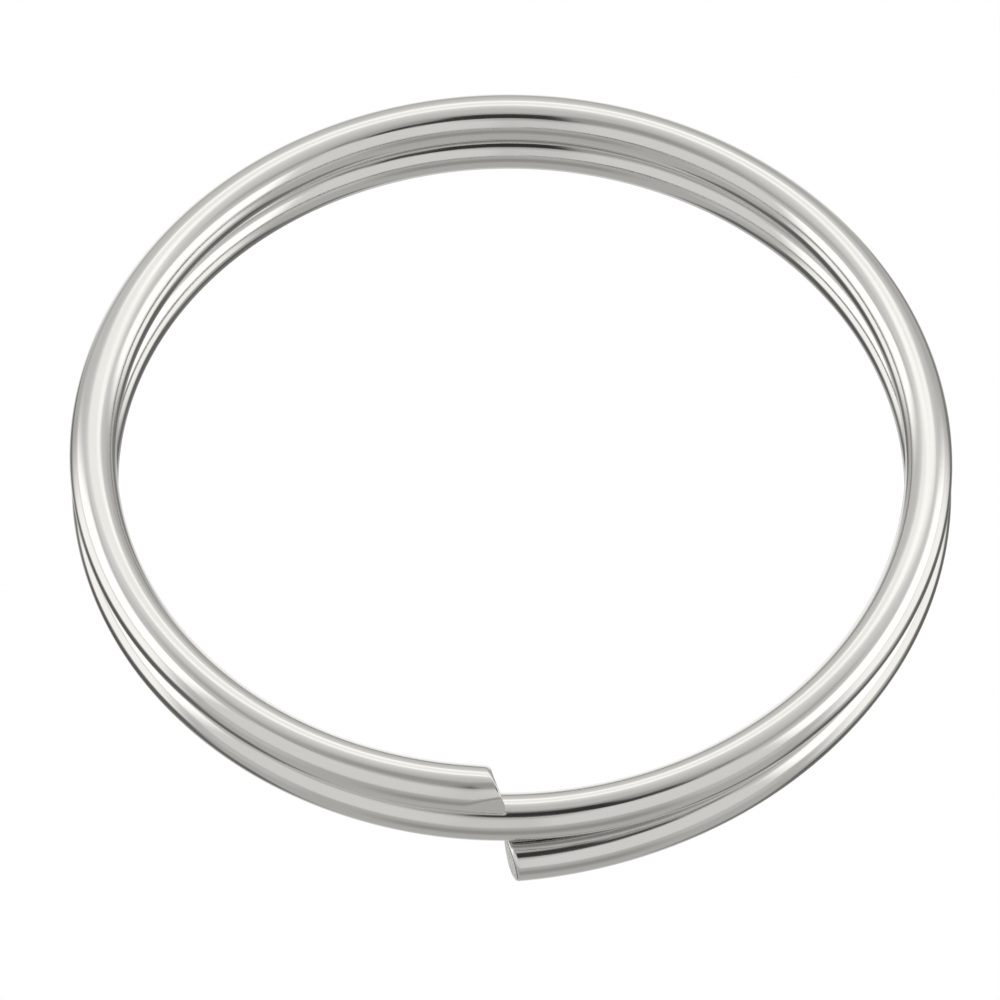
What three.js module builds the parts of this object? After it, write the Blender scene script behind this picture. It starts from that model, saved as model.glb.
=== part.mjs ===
// Split key ring: one round spring wire wound into two close turns.
// The wire is modelled as short stretches, end to end, because the ring works by flexing:
// each join between two stretches is an elastic hinge where the wire bends and twists.
// Millimetres. +Z is the axis of the coil, and the two cut ends meet at the front, at -Y.
import * as THREE from "three";
import { mergeVertices } from "three/addons/utils/BufferGeometryUtils.js";

// Driving sizes of the ring
const OUTER_DIAMETER = 30;
const WIRE_DIAMETER = 1.6;
const TURN_GAP = 0.08; // clear space between the two turns at rest
const TURNS = 2;
const END_SETBACK_DEG = 0.86; // each cut end stops this far short of the front centre line

// The lower end stands out a little from the coil, so that a key's hole can find it
const FLARE_OUT = 0.55;
const FLARE_SWEEP_DEG = 59;

// The cut ends: each is sheared in a slanted plane, and its rim is rounded
const UPPER_CUT_SLANT_DEG = 23; // the upper end is longer on its outer side
const UPPER_CUT_LEAN_DEG = 3; // and a little longer underneath
const LOWER_CUT_SLANT_DEG = 14; // the lower end is longer on its inner side
const CUT_RIM_RADIUS = 0.08;

// The stretches that the wire is divided into
const STRETCHES_EACH_SIDE = 10; // on each side of the middle stretch
const HINGE_GAP = 0.1; // clear space between neighbouring stretches

// Fineness of the mesh
const SIDES_AROUND_WIRE = 20;
const STEP_DEG = 4;
const RIM_STEPS = 3;

// Sizes that follow from the ones above
const WIRE_RADIUS = WIRE_DIAMETER / 2;
const COIL_RADIUS = OUTER_DIAMETER / 2 - WIRE_RADIUS; // to the centre of the wire
const PITCH = WIRE_DIAMETER + TURN_GAP;
const WIRE_SWEEP = THREE.MathUtils.degToRad(360 * TURNS - 2 * END_SETBACK_DEG);
const STRETCH_SWEEP = WIRE_SWEEP / (2 * STRETCHES_EACH_SIDE + 1);
const HINGE_GAP_SWEEP = HINGE_GAP / COIL_RADIUS;
const FRONT = -Math.PI / 2;

const NICKEL_PLATED_STEEL = { color: 0xb4b3b0, roughness: 0.16, metalness: 1 };

// How far the lower end has moved out of the coil at the angle turn, counted from the middle of the wire
function flareAt(turn) {
  const fromLowerEnd = turn + WIRE_SWEEP / 2;
  const flareSweep = THREE.MathUtils.degToRad(FLARE_SWEEP_DEG);
  const share = THREE.MathUtils.clamp(1 - fromLowerEnd / flareSweep, 0, 1);
  return FLARE_OUT * share * share;
}

// The centre of the wire at the angle turn from the middle of the wire, rising as it goes round
function wireCentre(turn) {
  const azimuth = FRONT + turn;
  const radius = COIL_RADIUS + flareAt(turn);
  const height = (PITCH * turn) / (2 * Math.PI);
  return new THREE.Vector3(radius * Math.cos(azimuth), radius * Math.sin(azimuth), height);
}

// Directions at the angle turn: along the wire, away from the coil axis, and up across the wire
function wireFrame(turn) {
  const small = 1e-4;
  const along = wireCentre(turn + small).sub(wireCentre(turn - small)).normalize();
  const azimuth = FRONT + turn;
  const outward = new THREE.Vector3(Math.cos(azimuth), Math.sin(azimuth), 0);
  outward.addScaledVector(along, -outward.dot(along)).normalize();
  const upward = new THREE.Vector3().crossVectors(outward, along);
  return { along, outward, upward };
}

// One ring of points around the wire. A cut plane, if given, slides each point along the wire to it.
function sectionPoints(turn, radius, cut) {
  const centre = wireCentre(turn);
  const { along, outward, upward } = wireFrame(turn);
  const points = [];
  for (let side = 0; side < SIDES_AROUND_WIRE; side += 1) {
    const angle = (2 * Math.PI * side) / SIDES_AROUND_WIRE;
    const point = centre.clone();
    point.addScaledVector(outward, radius * Math.cos(angle));
    point.addScaledVector(upward, radius * Math.sin(angle));
    if (cut) {
      const offset = point.clone().sub(cut.point).dot(cut.normal);
      point.addScaledVector(along, -offset / along.dot(cut.normal));
      point.addScaledVector(along, cut.setback);
    }
    points.push(point);
  }
  return points;
}

// The rings that close a sheared end: a plane cut whose rim is rounded over
function cutEndSections(turn, isUpperEnd) {
  const { along, outward, upward } = wireFrame(turn);
  const slant = THREE.MathUtils.degToRad(isUpperEnd ? UPPER_CUT_SLANT_DEG : LOWER_CUT_SLANT_DEG);
  const lean = THREE.MathUtils.degToRad(isUpperEnd ? UPPER_CUT_LEAN_DEG : 0);
  const normal = along.clone();
  normal.addScaledVector(outward, -Math.tan(slant));
  normal.addScaledVector(upward, Math.tan(lean));
  normal.normalize();
  const inward = isUpperEnd ? -1 : 1;
  const sections = [];
  for (let step = 0; step <= RIM_STEPS; step += 1) {
    const bend = (Math.PI / 2) * (step / RIM_STEPS);
    const radius = WIRE_RADIUS - CUT_RIM_RADIUS * (1 - Math.cos(bend));
    const setback = inward * CUT_RIM_RADIUS * (1 - Math.sin(bend));
    sections.push(sectionPoints(turn, radius, { point: wireCentre(turn), normal, setback }));
  }
  return isUpperEnd ? sections : sections.reverse();
}

// A closed solid from rings of points in order along the wire, with a flat fan at each end
function solidThroughSections(sections) {
  const sides = SIDES_AROUND_WIRE;
  const positions = [];
  for (const section of sections) {
    for (const point of section) positions.push(point.x, point.y, point.z);
  }
  const faces = [];
  for (let row = 0; row < sections.length - 1; row += 1) {
    for (let side = 0; side < sides; side += 1) {
      const next = (side + 1) % sides;
      const a = row * sides + side;
      const b = row * sides + next;
      const c = (row + 1) * sides + next;
      const d = (row + 1) * sides + side;
      faces.push(a, d, b, b, d, c);
    }
  }
  const last = (sections.length - 1) * sides;
  for (let side = 1; side < sides - 1; side += 1) {
    faces.push(0, side, side + 1);
    faces.push(last, last + side + 1, last + side);
  }
  const geometry = new THREE.BufferGeometry();
  geometry.setAttribute("position", new THREE.Float32BufferAttribute(positions, 3));
  geometry.setIndex(faces);
  return mergeVertices(geometry);
}

// The solid of the wire between two angles. An end that is the ring's own cut end is sheared and rounded.
function stretchGeometry(from, to, lowerCut, upperCut) {
  const steps = Math.ceil(THREE.MathUtils.radToDeg(to - from) / STEP_DEG);
  const sections = [];
  for (let step = 0; step <= steps; step += 1) {
    const isCutEnd = (lowerCut && step === 0) || (upperCut && step === steps);
    if (isCutEnd) sections.push(...cutEndSections(step === 0 ? from : to, upperCut));
    else sections.push(sectionPoints(from + ((to - from) * step) / steps, WIRE_RADIUS));
  }
  return solidThroughSections(sections);
}

// Stretches are numbered away from the middle one: down to the lower end and up to the upper end
function stretchName(number) {
  if (number === 0) return "middle_crossover";
  const turn = number < 0 ? "lower" : "upper";
  const count = Math.abs(number);
  if (count === STRETCHES_EACH_SIDE) return `${turn}_end`;
  return `${turn}_turn_${String(count).padStart(2, "0")}`;
}

const keyRing = new THREE.Group();
keyRing.name = "split_key_ring";

for (let number = -STRETCHES_EACH_SIDE; number <= STRETCHES_EACH_SIDE; number += 1) {
  const isLowerEnd = number === -STRETCHES_EACH_SIDE;
  const isUpperEnd = number === STRETCHES_EACH_SIDE;
  const from = STRETCH_SWEEP * (number - 0.5) + (isLowerEnd ? 0 : HINGE_GAP_SWEEP / 2);
  const to = STRETCH_SWEEP * (number + 0.5) - (isUpperEnd ? 0 : HINGE_GAP_SWEEP / 2);
  const material = new THREE.MeshStandardMaterial(NICKEL_PLATED_STEEL);
  const stretch = new THREE.Mesh(stretchGeometry(from, to, isLowerEnd, isUpperEnd), material);
  stretch.name = stretchName(number);
  keyRing.add(stretch);
}

export default keyRing;
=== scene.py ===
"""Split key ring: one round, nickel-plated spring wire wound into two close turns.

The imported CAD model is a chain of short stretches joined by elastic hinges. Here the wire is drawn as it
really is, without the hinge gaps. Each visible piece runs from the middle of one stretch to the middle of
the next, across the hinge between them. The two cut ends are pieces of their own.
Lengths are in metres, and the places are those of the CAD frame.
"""

import math

import bpy
import numpy as np
from mathutils import Matrix, Vector, noise


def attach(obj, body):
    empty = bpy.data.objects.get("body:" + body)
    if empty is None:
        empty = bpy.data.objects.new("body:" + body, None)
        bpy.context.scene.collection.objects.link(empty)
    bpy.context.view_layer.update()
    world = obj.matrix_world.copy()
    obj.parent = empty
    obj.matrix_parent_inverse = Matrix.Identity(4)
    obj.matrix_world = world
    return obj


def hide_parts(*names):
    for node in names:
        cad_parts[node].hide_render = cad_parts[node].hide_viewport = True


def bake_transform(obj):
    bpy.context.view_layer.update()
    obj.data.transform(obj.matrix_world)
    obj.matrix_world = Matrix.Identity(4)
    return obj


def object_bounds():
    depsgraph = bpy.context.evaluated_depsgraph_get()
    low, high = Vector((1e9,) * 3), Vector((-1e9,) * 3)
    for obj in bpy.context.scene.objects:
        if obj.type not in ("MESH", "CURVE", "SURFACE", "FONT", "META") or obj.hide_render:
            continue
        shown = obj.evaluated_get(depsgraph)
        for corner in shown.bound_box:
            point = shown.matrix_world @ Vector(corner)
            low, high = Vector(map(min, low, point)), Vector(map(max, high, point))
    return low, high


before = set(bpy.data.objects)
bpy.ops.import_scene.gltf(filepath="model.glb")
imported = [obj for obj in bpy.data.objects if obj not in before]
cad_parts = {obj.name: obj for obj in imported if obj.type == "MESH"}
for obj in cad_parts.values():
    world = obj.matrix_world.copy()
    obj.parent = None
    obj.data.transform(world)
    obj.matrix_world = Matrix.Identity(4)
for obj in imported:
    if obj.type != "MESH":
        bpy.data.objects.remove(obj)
cad_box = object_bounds()

MM = 0.001

# The wire, as the CAD model makes it
OUTER_DIAMETER = 30 * MM
WIRE_DIAMETER = 1.6 * MM
TURN_GAP = 0.08 * MM
TURNS = 2
END_SETBACK = math.radians(0.86)
FLARE_OUT = 0.55 * MM
FLARE_SWEEP = math.radians(59)
UPPER_CUT_SLANT = math.radians(23)
UPPER_CUT_LEAN = math.radians(3)
LOWER_CUT_SLANT = math.radians(14)
STRETCHES_EACH_SIDE = 10

WIRE_RADIUS = WIRE_DIAMETER / 2
COIL_RADIUS = OUTER_DIAMETER / 2 - WIRE_RADIUS
PITCH = WIRE_DIAMETER + TURN_GAP
WIRE_SWEEP = 2 * math.pi * TURNS - 2 * END_SETBACK
STRETCH_SWEEP = WIRE_SWEEP / (2 * STRETCHES_EACH_SIDE + 1)
FRONT = -math.pi / 2
AXIS_STEP = 1e-4  # radians, for finding the wire's direction

# The sheared ends. A side is an angle round the wire, from straight outward to upward.
RIM_RADIUS = 0.08 * MM
UPPER_SOFT_RIM = 0.15 * MM  # added to the rim of the upper end on top, where the shear rolled it over
UPPER_SOFT_SIDE = math.radians(122)
UPPER_SOFT_SPREAD = math.radians(44)
UPPER_CORNER = 0.16 * MM  # how far the upper end stands out from its slanted plane, high on its inner side
UPPER_CORNER_SIDE = math.radians(150)
UPPER_CORNER_SPREAD = math.radians(50)
LOWER_SOFT_RIM = 0.06 * MM
LOWER_SOFT_SIDE = math.radians(60)
LOWER_SOFT_SPREAD = math.radians(60)
PINCH_DEPTH = 0.18 * MM  # the small flat that the shear pressed into the upper end
PINCH_LENGTH = 1.25 * MM
PINCH_SIDE = 0  # the flat faces straight outward
PINCH_LIMIT = 0.2  # cosine of the angle from PINCH_SIDE beyond which nothing is flattened
PINCH_BLEND = 0.02 * MM  # softness of the edges of the flat
TIP_PULL = 0.06 * MM  # the shear pulled the tip of the upper end outward and up
TIP_LENGTH = 0.9 * MM
TIP_SIDE = math.radians(25)

# The relief of a cut face: drag lines on its upper part, and torn metal below. Apart from the relief's
# height, lengths here are in millimetres.
FACE_RELIEF = 0.012 * MM
RELIEF_FADE = 0.12  # width of the edge where the relief dies away
TEAR_TOP = 0.22  # height above the middle of the wire at which the torn part begins
TEAR_WAVE = 0.1
TEAR_WAVES = 5  # radians in a millimetre
TEAR_SHARPNESS = 14
TEAR_GRAIN = 5.2  # lumps in a millimetre
TEAR_ROUGHNESS = (0.75, 2.1, 4)  # of the fractal: dimension, lacunarity and octaves
TEAR_LAYER = 4.1  # which layer of the noise the tear is cut from
TEAR_SINK = 0.25  # how far the torn part lies below the rest, as a share of FACE_RELIEF
DRAG_HEIGHT = 0.18  # as a share of FACE_RELIEF
DRAG_LINES = 34  # radians in a millimetre
DRAG_WANDER = 2.5  # radians
DRAG_WANDER_GRAIN = (3, 0.6)  # across the lines and along them, in lumps in a millimetre
DRAG_LAYER = 1.7

# Fineness of the meshes
SIDES = 64
ROWS_PER_SPAN = 24
CUT_ROWS = 40
ROW_CROWDING = 2.2  # how much closer the rows of a cut end stand near its cut
RIM_ROWS = 7
FACE_RINGS = 18


# ---------------------------------------------------------------- the wire's own geometry


def clamp(value):
    return min(max(value, 0), 1)


def wire_centre(turn):
    """The centre of the wire, turn radians from its middle, which is at the front."""
    share = clamp(1 - (turn + WIRE_SWEEP / 2) / FLARE_SWEEP)
    radius = COIL_RADIUS + FLARE_OUT * share**2
    azimuth = FRONT + turn
    return Vector((radius * math.cos(azimuth), radius * math.sin(azimuth), PITCH * turn / (2 * math.pi)))


def wire_axes(turn):
    """Directions along the wire, out of the coil, and up across the wire."""
    along = (wire_centre(turn + AXIS_STEP) - wire_centre(turn - AXIS_STEP)).normalized()
    azimuth = FRONT + turn
    outward = Vector((math.cos(azimuth), math.sin(azimuth), 0))
    outward = (outward - along * outward.dot(along)).normalized()
    return along, outward, outward.cross(along)


def across(turn, radius, side):
    """A point at that radius from the wire's centre. side turns from straight outward to upward."""
    _, outward, upward = wire_axes(turn)
    return wire_centre(turn) + outward * (radius * math.cos(side)) + upward * (radius * math.sin(side))


def place_of(turn, radius, side):
    """The same point on the wire laid out straight, in millimetres, for the materials' patterns."""
    return (turn * COIL_RADIUS / MM, radius * math.cos(side) / MM, radius * math.sin(side) / MM)


def side_angles():
    """The sides at which the points of one ring stand."""
    return [2 * math.pi * k / SIDES for k in range(SIDES)]


class Skin:
    """Gathers the points and faces of one piece. Most points stand in rings round the wire."""

    def __init__(self):
        self.points = []
        self.places = []
        self.faces = []

    def ring(self, points, places):
        self.points += points
        self.places += places

    def row_count(self):
        return len(self.points) // SIDES

    def walls(self, flip=False):
        """Joins each ring of points to the next."""
        for row in range(self.row_count() - 1):
            for k in range(SIDES):
                a = row * SIDES + k
                b = row * SIDES + (k + 1) % SIDES
                quad = (a, a + SIDES, b + SIDES, b)
                self.faces.append(quad[::-1] if flip else quad)

    def cap(self, row, flip=False):
        """Closes the piece with one flat face, where it meets the next piece."""
        ring = tuple(row * SIDES + k for k in range(SIDES))
        self.faces.append(ring[::-1] if flip else ring)

    def pole(self, row, point, place, flip=False):
        """Closes the last ring of a cut face with a point in its middle."""
        middle = len(self.points)
        self.points.append(point)
        self.places.append(place)
        for k in range(SIDES):
            a = row * SIDES + k
            b = row * SIDES + (k + 1) % SIDES
            self.faces.append((a, b, middle)[::-1] if flip else (a, b, middle))


def wire_object(name, skin, seam_rows, cap_faces):
    """The object of one piece. Its normals at a seam are those of the whole wire, so no seam shows.

    seam_rows pairs each seam's row of points with its turn, and cap_faces are the flat faces by number.
    """
    mesh = bpy.data.meshes.new(name)
    mesh.from_pydata(skin.points, [], skin.faces)
    mesh.polygons.foreach_set("use_smooth", [k not in cap_faces for k in range(len(mesh.polygons))])
    place = mesh.attributes.new("wire_place", "FLOAT_VECTOR", "POINT")
    place.data.foreach_set("vector", np.array(skin.places, np.float32).ravel())
    mesh.update()
    normals = np.empty(len(mesh.vertices) * 3, np.float32)
    mesh.vertex_normals.foreach_get("vector", normals)
    normals = normals.reshape(-1, 3)
    for row, turn in seam_rows:
        _, outward, upward = wire_axes(turn)
        for k, side in enumerate(side_angles()):
            normals[row * SIDES + k] = outward * math.cos(side) + upward * math.sin(side)
    corners = []
    for polygon in mesh.polygons:
        flat = polygon.index in cap_faces
        for vertex in polygon.vertices:
            corners.append(tuple(polygon.normal) if flat else tuple(normals[vertex]))
    wire_uv(mesh, skin)
    mesh.normals_split_custom_set(corners)
    made = bpy.data.objects.new(name, mesh)
    bpy.context.scene.collection.objects.link(made)
    return made


def wire_uv(mesh, skin):
    """Unrolls the wall of the wire: u runs along it and v around it."""
    layer = mesh.uv_layers.new(name="unrolled")
    girth = math.pi * WIRE_DIAMETER / MM
    for polygon in mesh.polygons:
        turned = [math.atan2(skin.places[v][2], skin.places[v][1]) / (2 * math.pi) for v in polygon.vertices]
        wraps = max(turned) - min(turned) > 0.5  # this face crosses the line where v starts again
        for loop, vertex, around in zip(polygon.loop_indices, polygon.vertices, turned):
            v = around + 1 if wraps and around < 0 else around
            layer.data[loop].uv = (skin.places[vertex][0] / girth, v)


# ---------------------------------------------------------------- pieces along the wire


def stretch_name(number):
    """The CAD body number places up from the middle of the wire, or down if it is negative."""
    if number == 0:
        return "middle_crossover"
    side = "lower" if number < 0 else "upper"
    if abs(number) == STRETCHES_EACH_SIDE:
        return f"{side}_end"
    return f"{side}_turn_{abs(number):02d}"


def make_span(number):
    """The wire from the middle of stretch number to the middle of the next one up."""
    start = STRETCH_SWEEP * number
    skin = Skin()
    for row in range(ROWS_PER_SPAN + 1):
        turn = start + STRETCH_SWEEP * row / ROWS_PER_SPAN
        points = [across(turn, WIRE_RADIUS, side) for side in side_angles()]
        skin.ring(points, [place_of(turn, WIRE_RADIUS, side) for side in side_angles()])
    skin.walls()
    skin.cap(0, flip=True)
    skin.cap(ROWS_PER_SPAN)
    seams = [(0, start), (ROWS_PER_SPAN, start + STRETCH_SWEEP)]
    caps = {len(skin.faces) - 1, len(skin.faces) - 2}
    name = f"wire_span_{number + STRETCHES_EACH_SIDE + 1:02d}"
    return wire_object(name, skin, seams, caps)


# ---------------------------------------------------------------- the two sheared ends


def hump(side, centre, spread):
    """1 at the centre side, falling smoothly to 0 on both sides of it."""
    return math.exp(-(((side - centre) / spread) ** 2))


def cut_reach(upper, radius, side):
    """How far up the wire from the middle of the cut its face is, at that point of the section."""
    if upper:
        plane = math.tan(UPPER_CUT_SLANT) * math.cos(side) - math.tan(UPPER_CUT_LEAN) * math.sin(side)
        corner = hump(side, UPPER_CORNER_SIDE, UPPER_CORNER_SPREAD) * (radius / WIRE_RADIUS) ** 2
        return radius * plane + UPPER_CORNER * corner
    return radius * math.tan(LOWER_CUT_SLANT) * math.cos(side)


def rim_radius(upper, side):
    """How round the rim of the cut is, at that side of the wire."""
    if upper:
        return RIM_RADIUS + UPPER_SOFT_RIM * hump(side, UPPER_SOFT_SIDE, UPPER_SOFT_SPREAD)
    return RIM_RADIUS + LOWER_SOFT_RIM * hump(side, LOWER_SOFT_SIDE, LOWER_SOFT_SPREAD)


def tip_pull(turn, from_cut):
    """How far the tip of the upper end is pulled aside, at that distance from the cut."""
    _, outward, upward = wire_axes(turn)
    share = clamp(1 - from_cut / TIP_LENGTH)
    return (outward * math.cos(TIP_SIDE) + upward * math.sin(TIP_SIDE)) * (TIP_PULL * share**2)


def pinched(radius, side, from_cut):
    """The flat that the shear pressed into the wire: the radius left at that distance from the cut."""
    depth = PINCH_DEPTH * clamp(1 - from_cut / PINCH_LENGTH)
    facing = math.cos(side - PINCH_SIDE)
    if depth <= 0 or facing <= PINCH_LIMIT:
        return radius
    limit = (WIRE_RADIUS - depth) / facing
    softness = max(PINCH_BLEND - abs(limit - radius), 0) / PINCH_BLEND
    return min(limit, radius) - softness**2 * PINCH_BLEND / 4


def face_relief(across_out, across_up):
    """Height of the cut face above its plane, in metres, at that place on the section."""
    x, y = across_out / MM, across_up / MM
    above_tear = y - TEAR_TOP + TEAR_WAVE * math.sin(TEAR_WAVES * x)
    torn = 1 / (1 + math.exp(above_tear * TEAR_SHARPNESS))
    grain_across, grain_along = DRAG_WANDER_GRAIN
    wander = DRAG_WANDER * noise.noise(Vector((x * grain_across, y * grain_along, DRAG_LAYER)))
    drag = DRAG_HEIGHT * math.sin(DRAG_LINES * x + wander)
    lumps = noise.fractal(Vector((x * TEAR_GRAIN, y * TEAR_GRAIN, TEAR_LAYER)), *TEAR_ROUGHNESS)
    edge = clamp(((WIRE_RADIUS - RIM_RADIUS) / MM - math.hypot(x, y)) / RELIEF_FADE)
    return FACE_RELIEF * edge * ((1 - torn) * drag + torn * (lumps - TEAR_SINK))


def make_cut_end(number):
    """The wire from the middle of its last stretch to its sheared end, and where its cut face begins."""
    upper = number > 0
    sign = 1 if upper else -1
    seam = STRETCH_SWEEP * number
    cut = sign * WIRE_SWEEP / 2
    skin = Skin()

    def add_row(inset, back, shrink=1.0, share=1.0, relief=False):
        """One ring. inset and back are in rim radii, inward from the wall and back from the cut.

        shrink draws the ring towards the wire's centre, and share places it from the seam to the cut.
        """
        points, places = [], []
        for side in side_angles():
            rim = rim_radius(upper, side)
            radius = (WIRE_RADIUS - inset * rim) * shrink
            reach = cut + (cut_reach(upper, radius, side) - sign * back * rim) / COIL_RADIUS
            turn = seam + (reach - seam) * share
            from_cut = abs(reach - turn) * COIL_RADIUS + back * rim
            left = pinched(radius, side, from_cut) if upper else radius
            if relief:
                turn += sign * face_relief(radius * math.cos(side), radius * math.sin(side)) / COIL_RADIUS
            point = across(turn, left, side)
            points.append(point + tip_pull(turn, from_cut) if upper else point)
            places.append(place_of(turn, left, side))
        skin.ring(points, places)

    for row in range(CUT_ROWS):
        add_row(0, 1, share=1 - (1 - row / CUT_ROWS) ** ROW_CROWDING)
    for row in range(RIM_ROWS + 1):
        bend = math.pi / 2 * row / RIM_ROWS
        add_row(1 - math.cos(bend), 1 - math.sin(bend))
    face_rows = skin.row_count()
    for ring in range(1, FACE_RINGS):
        add_row(1, 0, shrink=1 - ring / FACE_RINGS, relief=True)
    skin.walls(flip=not upper)
    wall_faces = (face_rows - 1) * SIDES
    middle = cut + sign * face_relief(0, 0) / COIL_RADIUS
    middle_point = wire_centre(middle) + (tip_pull(middle, 0) if upper else Vector())
    skin.pole(skin.row_count() - 1, middle_point, place_of(middle, 0, 0), flip=not upper)
    skin.cap(0, flip=upper)
    name = "wire_upper_cut_end" if upper else "wire_lower_cut_end"
    made = wire_object(name, skin, [(0, seam)], {len(skin.faces) - 1})
    return made, wall_faces


# ---------------------------------------------------------------- materials


class Nodes:
    """Short calls for building one material's nodes."""

    def __init__(self, name):
        self.material = bpy.data.materials.new(name)
        self.material.use_nodes = True
        self.tree = self.material.node_tree
        self.shader = next(n for n in self.tree.nodes if n.type == "BSDF_PRINCIPLED")

    def link(self, source, target):
        self.tree.links.new(source, target)

    def wire_place(self):
        made = self.tree.nodes.new("ShaderNodeAttribute")
        made.attribute_name = "wire_place"
        return made.outputs["Vector"]

    def stretched(self, along, round_it):
        """The place on the wire, scaled to that many cycles per millimetre along it and round it."""
        made = self.tree.nodes.new("ShaderNodeMapping")
        made.inputs["Scale"].default_value = (along, round_it, round_it)
        self.link(self.wire_place(), made.inputs["Vector"])
        return made.outputs["Vector"]

    def noise(self, vector, detail, roughness=0.5, distortion=0.0):
        made = self.tree.nodes.new("ShaderNodeTexNoise")
        made.inputs["Scale"].default_value = 1
        made.inputs["Detail"].default_value = detail
        made.inputs["Roughness"].default_value = roughness
        made.inputs["Distortion"].default_value = distortion
        self.link(vector, made.inputs["Vector"])
        return made.outputs["Fac"]

    def ramp(self, value, low, high, to_low, to_high):
        """Carries low to to_low and high to to_high, in a straight line between them."""
        made = self.tree.nodes.new("ShaderNodeMapRange")
        made.inputs["From Min"].default_value = low
        made.inputs["From Max"].default_value = high
        made.inputs["To Min"].default_value = to_low
        made.inputs["To Max"].default_value = to_high
        self.link(value, made.inputs["Value"])
        return made.outputs["Result"]

    def math(self, operation, first, second):
        made = self.tree.nodes.new("ShaderNodeMath")
        made.operation = operation
        for socket, value in zip(made.inputs, (first, second)):
            if isinstance(value, (int, float)):
                socket.default_value = value
            else:
                self.link(value, socket)
        return made.outputs["Value"]

    def mix(self, share, low, high):
        """The colour low where share is 0, and high where it is 1."""
        made = self.tree.nodes.new("ShaderNodeMix")
        made.data_type = "RGBA"
        made.inputs[6].default_value = (*low, 1)
        made.inputs[7].default_value = (*high, 1)
        self.link(share, made.inputs[0])
        return made.outputs[2]

    def bump(self, height, depth, normal=None):
        made = self.tree.nodes.new("ShaderNodeBump")
        made.inputs["Distance"].default_value = depth
        made.inputs["Strength"].default_value = 1
        self.link(height, made.inputs["Height"])
        if normal is not None:
            self.link(normal, made.inputs["Normal"])
        return made.outputs["Normal"]


def nickel_material():
    """Polished nickel plate on drawn spring wire: bright, with faint lines along the wire."""
    n = Nodes("nickel_plated_wire")
    n.shader.inputs["Metallic"].default_value = 1
    cloud = n.noise(n.stretched(along=0.35, round_it=1.1), detail=3)
    lines = n.noise(n.stretched(along=0.22, round_it=26), detail=4, roughness=0.6)
    hairs = n.noise(n.stretched(along=1.4, round_it=60), detail=2, distortion=0.3)
    waves = n.noise(n.stretched(along=0.16, round_it=0.5), detail=1)
    grooves = n.noise(n.stretched(along=0.14, round_it=7), detail=2)
    colour = n.mix(cloud, low=(0.665, 0.66, 0.645), high=(0.695, 0.69, 0.675))
    n.link(colour, n.shader.inputs["Base Color"])
    polish = n.ramp(cloud, low=0.35, high=0.7, to_low=0.055, to_high=0.1)
    streaks = n.ramp(lines, low=0.4, high=0.75, to_low=0, to_high=0.05)
    n.link(n.math("ADD", polish, streaks), n.shader.inputs["Roughness"])
    normal = n.bump(waves, depth=0.006 * MM)
    normal = n.bump(grooves, depth=0.0016 * MM, normal=normal)
    normal = n.bump(lines, depth=0.0008 * MM, normal=normal)
    normal = n.bump(hairs, depth=0.0004 * MM, normal=normal)
    n.link(normal, n.shader.inputs["Normal"])
    return n.material


def cut_material():
    """The sheared faces: less mirror-like than the plated wall, speckled, and painted paler than bare metal
    as painted light for the softbox light their torn surface scatters.
    """
    n = Nodes("plated_cut_face")
    n.shader.inputs["Metallic"].default_value = 0.5
    grain = n.noise(n.stretched(along=9, round_it=9), detail=5, roughness=0.7)
    speckle = n.noise(n.stretched(along=24, round_it=24), detail=2, roughness=0.6)
    blotches = n.ramp(grain, low=0.35, high=0.65, to_low=0, to_high=1)
    # Both pale tones are painted light: brighter than the bare metal, standing in for the light the torn
    # face catches. The blotches between them are random tone.
    colour = n.mix(blotches, low=(0.84, 0.835, 0.82), high=(0.98, 0.975, 0.96))
    n.link(colour, n.shader.inputs["Base Color"])
    gloss = n.ramp(speckle, low=0.35, high=0.65, to_low=0.3, to_high=0.6)
    n.link(gloss, n.shader.inputs["Roughness"])
    normal = n.bump(grain, depth=0.012 * MM)
    n.link(n.bump(speckle, depth=0.004 * MM, normal=normal), n.shader.inputs["Normal"])
    return n.material


# ---------------------------------------------------------------- the ring

NICKEL = nickel_material()
CUT_FACE = cut_material()


def finish_piece(piece, node):
    """Gives a piece its metal, and hides the CAD part that it stands for."""
    piece.data.materials.append(NICKEL)
    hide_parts(node)


for number in range(-STRETCHES_EACH_SIDE, STRETCHES_EACH_SIDE):
    span = make_span(number)
    low_body, high_body = stretch_name(number), stretch_name(number + 1)
    is_top_span = number + 1 == STRETCHES_EACH_SIDE  # the node above this one is left to the cut end
    finish_piece(span, low_body if is_top_span else high_body)
    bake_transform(span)

for number in (-STRETCHES_EACH_SIDE, STRETCHES_EACH_SIDE):
    cut_end, wall_faces = make_cut_end(number)
    finish_piece(cut_end, stretch_name(number))
    cut_end.data.materials.append(CUT_FACE)
    for polygon in cut_end.data.polygons:
        polygon.material_index = 1 if polygon.index >= wall_faces else 0
    cut_end.data.polygons[-1].material_index = 0  # the cap at the seam
    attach(cut_end, stretch_name(number))


# ---------------------------------------------------------------- studio

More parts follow.
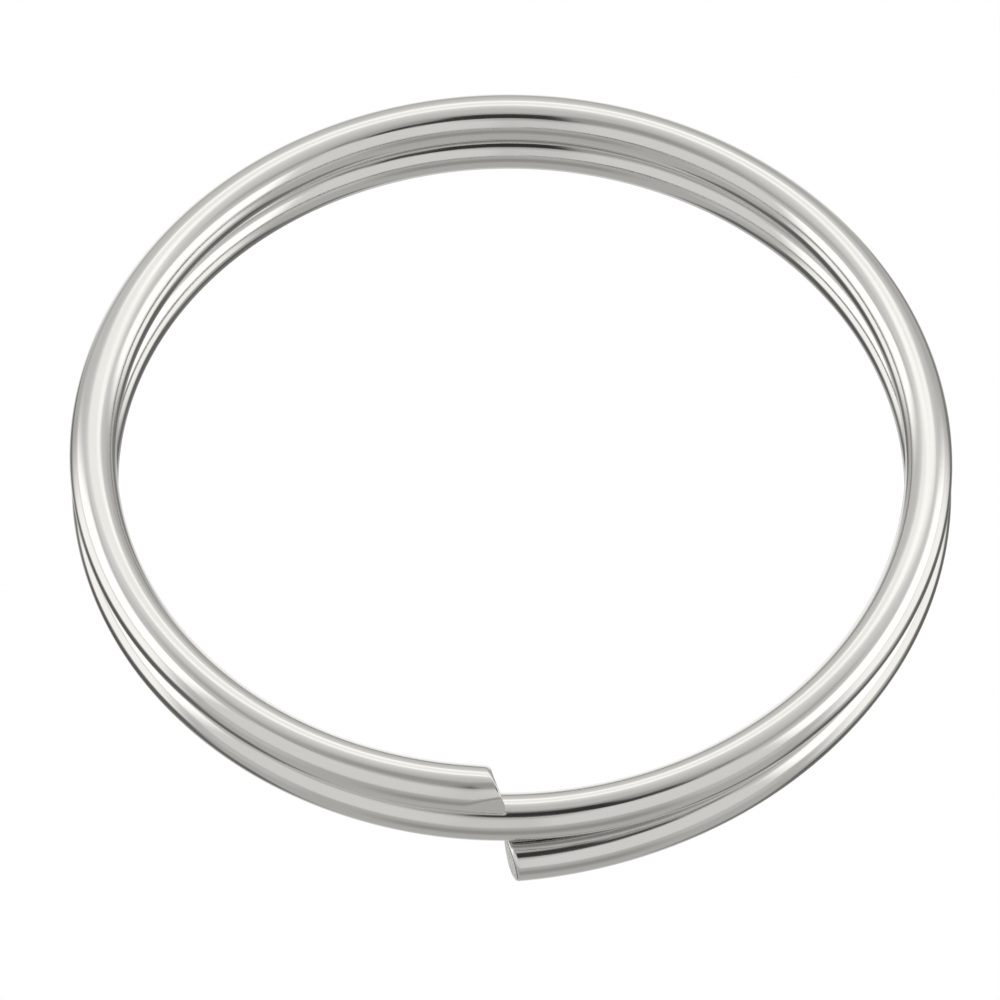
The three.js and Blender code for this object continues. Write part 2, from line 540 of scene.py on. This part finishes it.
# A light tent all round the ring, which only the metal sees. The angles are in degrees: azimuth from the
# front round to the right, and elevation above the table. Each panel is painted over the ones before it,
# with soft edges.
TENT_RADIUS = 0.2
TENT_TINT = (1.0, 0.994, 0.972)
TENT_GLOW = 0.72  # where there is no panel
TENT_COLUMNS = 360
TENT_ROWS = 180
PANELS = [
    # name, azimuth, elevation, half width, half height, soft sides, soft top and bottom, glow
    ("overhead", 0, 90, 400, 30, 1, 20, 0.70),
    ("overhead_front", -8, 67, 70, 11, 60, 14, 0.43),
    ("left_shade", -84, 55, 34, 5, 24, 10, 0.48),
    ("right_shade", 72, 55, 30, 5, 24, 10, 0.50),
    ("table", 0, -90, 400, 90, 1, 12, 0.56),
    ("under_back", 180, -80, 80, 8, 80, 12, 0.80),
    ("right_back", 150, 0, 20, 16, 16, 14, 0.57),
    ("back_table", -172, -32, 31, 17, 24, 16, 1.15),
    ("back_upper", 180, 56, 60, 18, 100, 30, 0.98),
    ("back_lower", 180, 38, 26, 12, 30, 34, 1.02),
    ("back_light_ends", 172, 50, 42, 8, 22, 7, 1.22),
    ("back_light", 178, 49, 28, 15, 18, 7, 1.20),
    ("back_light_right", 153, 50, 10, 7, 10, 8, 1.36),
    ("back_tube_low", 178, 39, 27, 3, 16, 5, 1.48),
    ("back_tube_high", 178, 59, 30, 2.5, 18, 5, 1.45),
    ("left_lobe", -100, -46, 28, 14, 16, 12, 0.13),
    ("left_lobe_low", -80, -57, 18, 12, 12, 10, 0.17),
    ("left_lobe_tail", -130, -34, 10, 10, 12, 8, 0.22),
    ("right_lobe", 92, -57, 20, 14, 14, 12, 0.14),
    ("right_lobe_back", 122, -45, 21, 15, 16, 12, 0.16),
    ("right_lobe_low", 106, -67, 50, 7, 24, 10, 0.24),
    ("right_lobe_far", 150, -61, 17, 9, 14, 10, 0.24),
    ("right_lobe_tail", 140, -26, 15, 8, 14, 10, 0.26),
    ("left_softbox", -96, 22.5, 27, 15.5, 17, 6, 1.55),
    ("right_softbox", 90, 21.5, 32, 15.5, 17, 6, 1.55),
    ("left_softbox_corner", -114, 42, 15, 3, 14, 8, 0.70),
    ("right_softbox_corner", 122, 37, 12, 4, 14, 8, 0.86),
    ("left_bounce", -95, -12, 22, 16, 16, 8, 1.32),
    ("right_bounce", 95, -12, 25, 17, 20, 10, 1.30),
    ("left_low", -56, -8, 12, 12, 14, 12, 0.68),
    ("right_low", 48, -8, 13, 10, 14, 12, 0.68),
    ("left_reflector", -36, 26, 30, 24, 6, 8, 0.88),
    ("right_reflector", 31, 26.5, 26, 24.5, 5, 8, 0.88),
    ("reflector_gap", -5, 26, 9, 26, 12, 8, 0.80),
    ("front_table", 3, -27, 30, 12, 20, 18, 0.39),
    ("front_shade", -3, 57, 22, 7, 24, 16, 0.42),
    ("front_shade_low", 0, 45, 12, 5, 16, 12, 0.58),
    ("camera", 8, 60.5, 22, 11, 8, 6, 0.045),
    ("camera_right", 36, 56.5, 10, 6, 6, 6, 0.06),
    ("camera_arm", 55, 58, 6, 3, 6, 5, 0.22),
]


def fade(distance, half, soft):
    """1 inside half and 0 outside it, over a soft edge."""
    share = np.clip((half + soft / 2 - distance) / soft, 0, 1)
    return share * share * (3 - 2 * share)


def tent_glow(azimuth, elevation):
    """The brightness of the tent in each direction."""
    glow = np.full(azimuth.shape, TENT_GLOW)
    for _, centre, height, half_width, half_height, soft_sides, soft_ends, brightness in PANELS:
        aside = np.abs((azimuth - centre + 180) % 360 - 180)
        above = np.abs(elevation - height)
        share = fade(aside, half_width, soft_sides) * fade(above, half_height, soft_ends)
        glow = glow + (brightness - glow) * share
    return glow


def glowing_material(name):
    """A material that only gives light, white unless its emission node is changed."""
    material = bpy.data.materials.new(name)
    material.use_nodes = True
    tree = material.node_tree
    tree.nodes.clear()
    output = tree.nodes.new("ShaderNodeOutputMaterial")
    emission = tree.nodes.new("ShaderNodeEmission")
    tree.links.new(emission.outputs["Emission"], output.inputs["Surface"])
    material.cycles.emission_sampling = "NONE"
    return material, emission


def make_tent():
    """The sphere of soft light round the ring."""
    azimuth, elevation = np.meshgrid(
        np.arange(TENT_COLUMNS) * 360 / TENT_COLUMNS,
        90 - np.arange(TENT_ROWS + 1) * 180 / TENT_ROWS,
    )
    a, e = np.radians(azimuth), np.radians(elevation)
    points = np.stack([np.sin(a) * np.cos(e), -np.cos(a) * np.cos(e), np.sin(e)], -1) * TENT_RADIUS
    faces = []
    for row in range(TENT_ROWS):
        top, bottom = row * TENT_COLUMNS, (row + 1) * TENT_COLUMNS
        for k in range(TENT_COLUMNS):
            following = (k + 1) % TENT_COLUMNS
            faces.append((top + k, top + following, bottom + following, bottom + k))
    mesh = bpy.data.meshes.new("light_tent")
    mesh.from_pydata(points.reshape(-1, 3).tolist(), [], faces)
    glow = mesh.attributes.new("glow", "FLOAT", "POINT")
    glow.data.foreach_set("value", tent_glow(azimuth, elevation).astype(np.float32).ravel())
    material, emission = glowing_material("light_tent")
    emission.inputs["Color"].default_value = (*TENT_TINT, 1)
    nodes, links = material.node_tree.nodes, material.node_tree.links
    attribute = nodes.new("ShaderNodeAttribute")
    attribute.attribute_name = "glow"
    links.new(attribute.outputs["Fac"], emission.inputs["Strength"])
    mesh.materials.append(material)
    tent = bpy.data.objects.new("light_tent", mesh)
    bpy.context.scene.collection.objects.link(tent)
    tent.visible_camera = False
    tent.visible_shadow = False


FLOOR_HALF_WIDTH = 2.0
FLOOR_CLEARANCE = 0.02 * MM  # below the lowest point of the ring


def make_floor():
    """The white table, which the camera sees and the metal doesn't."""
    half = FLOOR_HALF_WIDTH
    lowest = cad_box[0][2] - FLOOR_CLEARANCE
    corners = [(-half, -half, lowest), (half, -half, lowest), (half, half, lowest), (-half, half, lowest)]
    mesh = bpy.data.meshes.new("floor")
    mesh.from_pydata(corners, [], [(0, 1, 2, 3)])
    material, _ = glowing_material("floor")
    mesh.materials.append(material)
    floor = bpy.data.objects.new("floor", mesh)
    bpy.context.scene.collection.objects.link(floor)
    floor.visible_glossy = False
    floor.visible_diffuse = False
    floor.visible_shadow = False


def make_world():
    """Plain white beyond the floor."""
    world = bpy.data.worlds.new("white")
    world.use_nodes = True
    background = next(n for n in world.node_tree.nodes if n.type == "BACKGROUND")
    background.inputs["Color"].default_value = (1, 1, 1, 1)
    background.inputs["Strength"].default_value = 1
    bpy.context.scene.world = world


# The camera looks down at the ring from in front, through a long lens
CAMERA_ELEVATION = math.radians(55.23)
CAMERA_ASIDE = math.radians(2.0)
CAMERA_ROLL = math.radians(-0.99)
CAMERA_DISTANCE = 28.26 * COIL_RADIUS
CAMERA_LENS = 424.2
CAMERA_SENSOR = 36
CAMERA_SHIFT = (-0.01144, -0.03276)
CAMERA_CLIP_START = 0.01


def make_camera():
    """Looks at the ring's middle, but for the shift that frames it."""
    back = Vector((
        math.sin(CAMERA_ASIDE) * math.cos(CAMERA_ELEVATION),
        -math.cos(CAMERA_ASIDE) * math.cos(CAMERA_ELEVATION),
        math.sin(CAMERA_ELEVATION),
    ))
    level = Vector((0, 0, 1)).cross(back).normalized()
    above = back.cross(level)
    right = level * math.cos(CAMERA_ROLL) + above * math.sin(CAMERA_ROLL)
    up = above * math.cos(CAMERA_ROLL) - level * math.sin(CAMERA_ROLL)
    data = bpy.data.cameras.new("camera")
    data.lens = CAMERA_LENS
    data.sensor_width = CAMERA_SENSOR
    data.shift_x, data.shift_y = CAMERA_SHIFT
    data.clip_start = CAMERA_CLIP_START
    camera = bpy.data.objects.new("camera", data)
    bpy.context.scene.collection.objects.link(camera)
    turned = Matrix((right, up, back)).transposed().to_4x4()
    camera.matrix_world = Matrix.Translation(back * CAMERA_DISTANCE) @ turned
    bpy.context.scene.camera = camera


make_tent()
make_floor()
make_world()
make_camera()
bpy.context.scene.view_settings.view_transform = "Standard"
